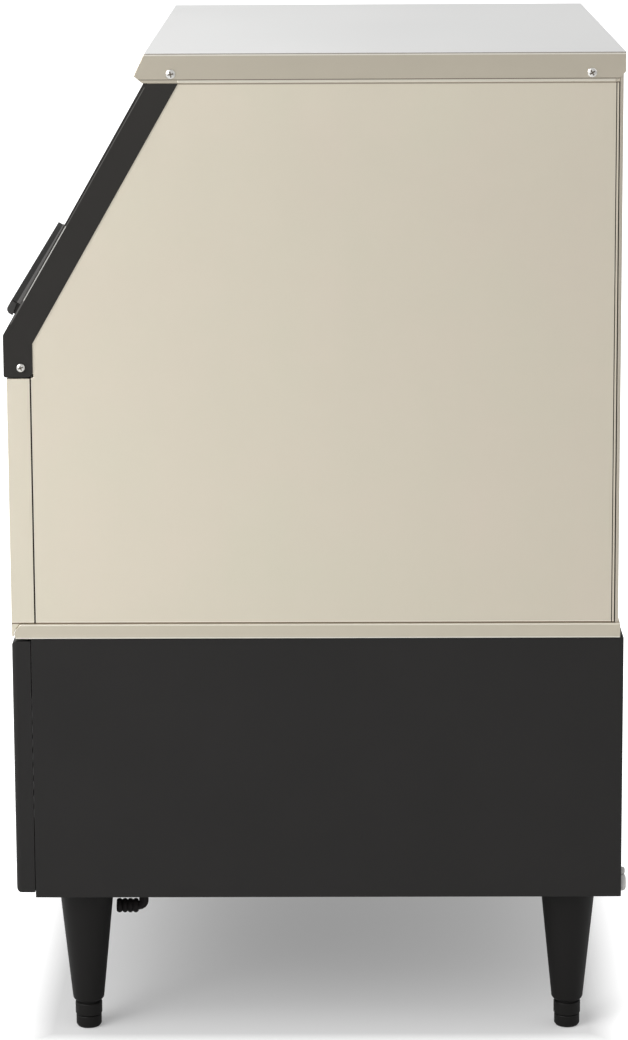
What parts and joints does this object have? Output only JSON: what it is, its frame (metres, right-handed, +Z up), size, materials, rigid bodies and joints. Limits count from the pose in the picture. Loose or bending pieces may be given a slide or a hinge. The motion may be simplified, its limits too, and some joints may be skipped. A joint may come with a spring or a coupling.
{
  "type": "undercounter ice maker",
  "caption": "Free-standing cabinet with a slanted bin door, a black machinery base behind a slotted front and tapered levelling legs; ice plate, water system and cooling machinery inside.",
  "frame": {"origin": "on the floor, at the middle of the machine's box seen from above", "axes": "+Z up, -Y to the front where the door and the air slots are, +X to the right as seen from the front"},
  "size_m": [0.6154, 0.6072, 0.9906],
  "materials": {
    "stainless": "brushed, softly reflecting",
    "cap_stainless": "brushed, softly reflecting",
    "bezel_black": "fine grained moulding",
    "door_black": "fine grained moulding",
    "satin_black": "satin powder coat",
    "leg_black": "matte moulding",
    "rubber": "matte",
    "steel": "plated",
    "foam": "open cut foam",
    "bin_liner": "smooth moulding",
    "pale_plastic": "smooth moulding",
    "aluminium": "mill finish",
    "compressor_black": "gloss enamel",
    "copper": "drawn copper tube",
    "switch_green": "gloss",
    "white_plastic": "smooth moulding",
    "plated_copper": "bright plated",
    "curtain_plastic": "smooth, cloudy",
    "float_blue": "closed cell foam"
  },
  "bodies": {
    "cabinet": {"base_pan": "satin_black", "base_rear_panel": "satin_black", "base_side_left": "satin_black", "base_side_right": "satin_black", "bin_drain": "bin_liner", "bin_liner": "bin_liner", "cap_screw_front_left": "steel", "cap_screw_front_right": "steel", "cap_screw_rear_left": "steel", "cap_screw_rear_right": "steel", "compressor": "compressor_black", "condenser": "aluminium", "control_box": "steel", "cord_gland": "rubber", "deck_tray": "stainless", "discharge_tube": "copper", "door_frame": "bezel_black", "drain_elbow": "rubber", "evaporator": "plated_copper", "evaporator_coil": "copper", "fan_motor": "steel", "fan_shroud": "satin_black", "filter_drier": "copper", "foam_insulation": "foam", "frame_screw_left": "steel", "frame_screw_right": "steel", "front_panel": "stainless", "grille_panel": "satin_black", "hinge_pin_left": "steel", "hinge_pin_right": "steel", "leg_front_left": "leg_black", "leg_front_right": "leg_black", "leg_rear_left": "leg_black", "leg_rear_right": "leg_black", "liquid_tube": "copper", "rear_panel": "stainless", "rear_spacer_left": "pale_plastic", "rear_spacer_right": "pale_plastic", "side_panel_left": "stainless", "side_panel_right": "stainless", "suction_tube": "copper", "top_panel": "cap_stainless", "water_distributor": "white_plastic", "water_pump": "white_plastic", "water_trough": "white_plastic", "water_valve": "white_plastic"},
    "door": {"door_shell": "door_black", "door_foam": "foam", "door_liner": "bin_liner", "door_gasket": "rubber", "door_handle": "bezel_black"},
    "curtain": {"water_curtain": "curtain_plastic"},
    "fan": {"fan_rotor": "aluminium"},
    "float": {"float": "float_blue"},
    "switch": {"power_switch": "switch_green"},
    "drain_plug": {"drain_cap": "rubber"},
    "levelling_front_left": {"foot_front_left": "leg_black"},
    "levelling_front_right": {"foot_front_right": "leg_black"},
    "levelling_rear_left": {"foot_rear_left": "leg_black"},
    "levelling_rear_right": {"foot_rear_right": "leg_black"}
  },
  "joints": [
    {"name": "door_hinge", "type": "hinge", "parent": "cabinet", "child": "door", "pos_m": [0, -0.16513, 0.93498], "axis": [-1, 0, 0], "range_deg": [0, 100]},
    {"name": "curtain_hinge", "type": "hinge", "parent": "cabinet", "child": "curtain", "pos_m": [0, 0.1534, 0.895], "axis": [-1, 0, 0], "range_deg": [0, 45]},
    {"name": "fan_spin", "type": "hinge", "parent": "cabinet", "child": "fan", "pos_m": [-0.1, -0.20578, 0.2653], "axis": [0, 1, 0], "continuous": true},
    {"name": "float_rise", "type": "slide", "parent": "cabinet", "child": "float", "axis": [0, 0, 1], "range_m": [0, 0.015]},
    {"name": "switch_rock", "type": "hinge", "parent": "cabinet", "child": "switch", "pos_m": [0.21, -0.2956, 0.38], "axis": [-1, 0, 0], "range_deg": [0, 16]},
    {"name": "drain_cap_turn", "type": "hinge", "parent": "cabinet", "child": "drain_plug", "pos_m": [0.235, -0.1961, 0.119], "axis": [0, 1, 0], "range_deg": [0, 90]},
    {"name": "foot_screw_front_left", "type": "slide", "parent": "cabinet", "child": "levelling_front_left", "axis": [0, 0, -1], "range_m": [0, 0.02]},
    {"name": "foot_screw_front_right", "type": "slide", "parent": "cabinet", "child": "levelling_front_right", "axis": [0, 0, -1], "range_m": [0, 0.02]},
    {"name": "foot_screw_rear_left", "type": "slide", "parent": "cabinet", "child": "levelling_rear_left", "axis": [0, 0, -1], "range_m": [0, 0.02]},
    {"name": "foot_screw_rear_right", "type": "slide", "parent": "cabinet", "child": "levelling_rear_right", "axis": [0, 0, -1], "range_m": [0, 0.02]}
  ]
}
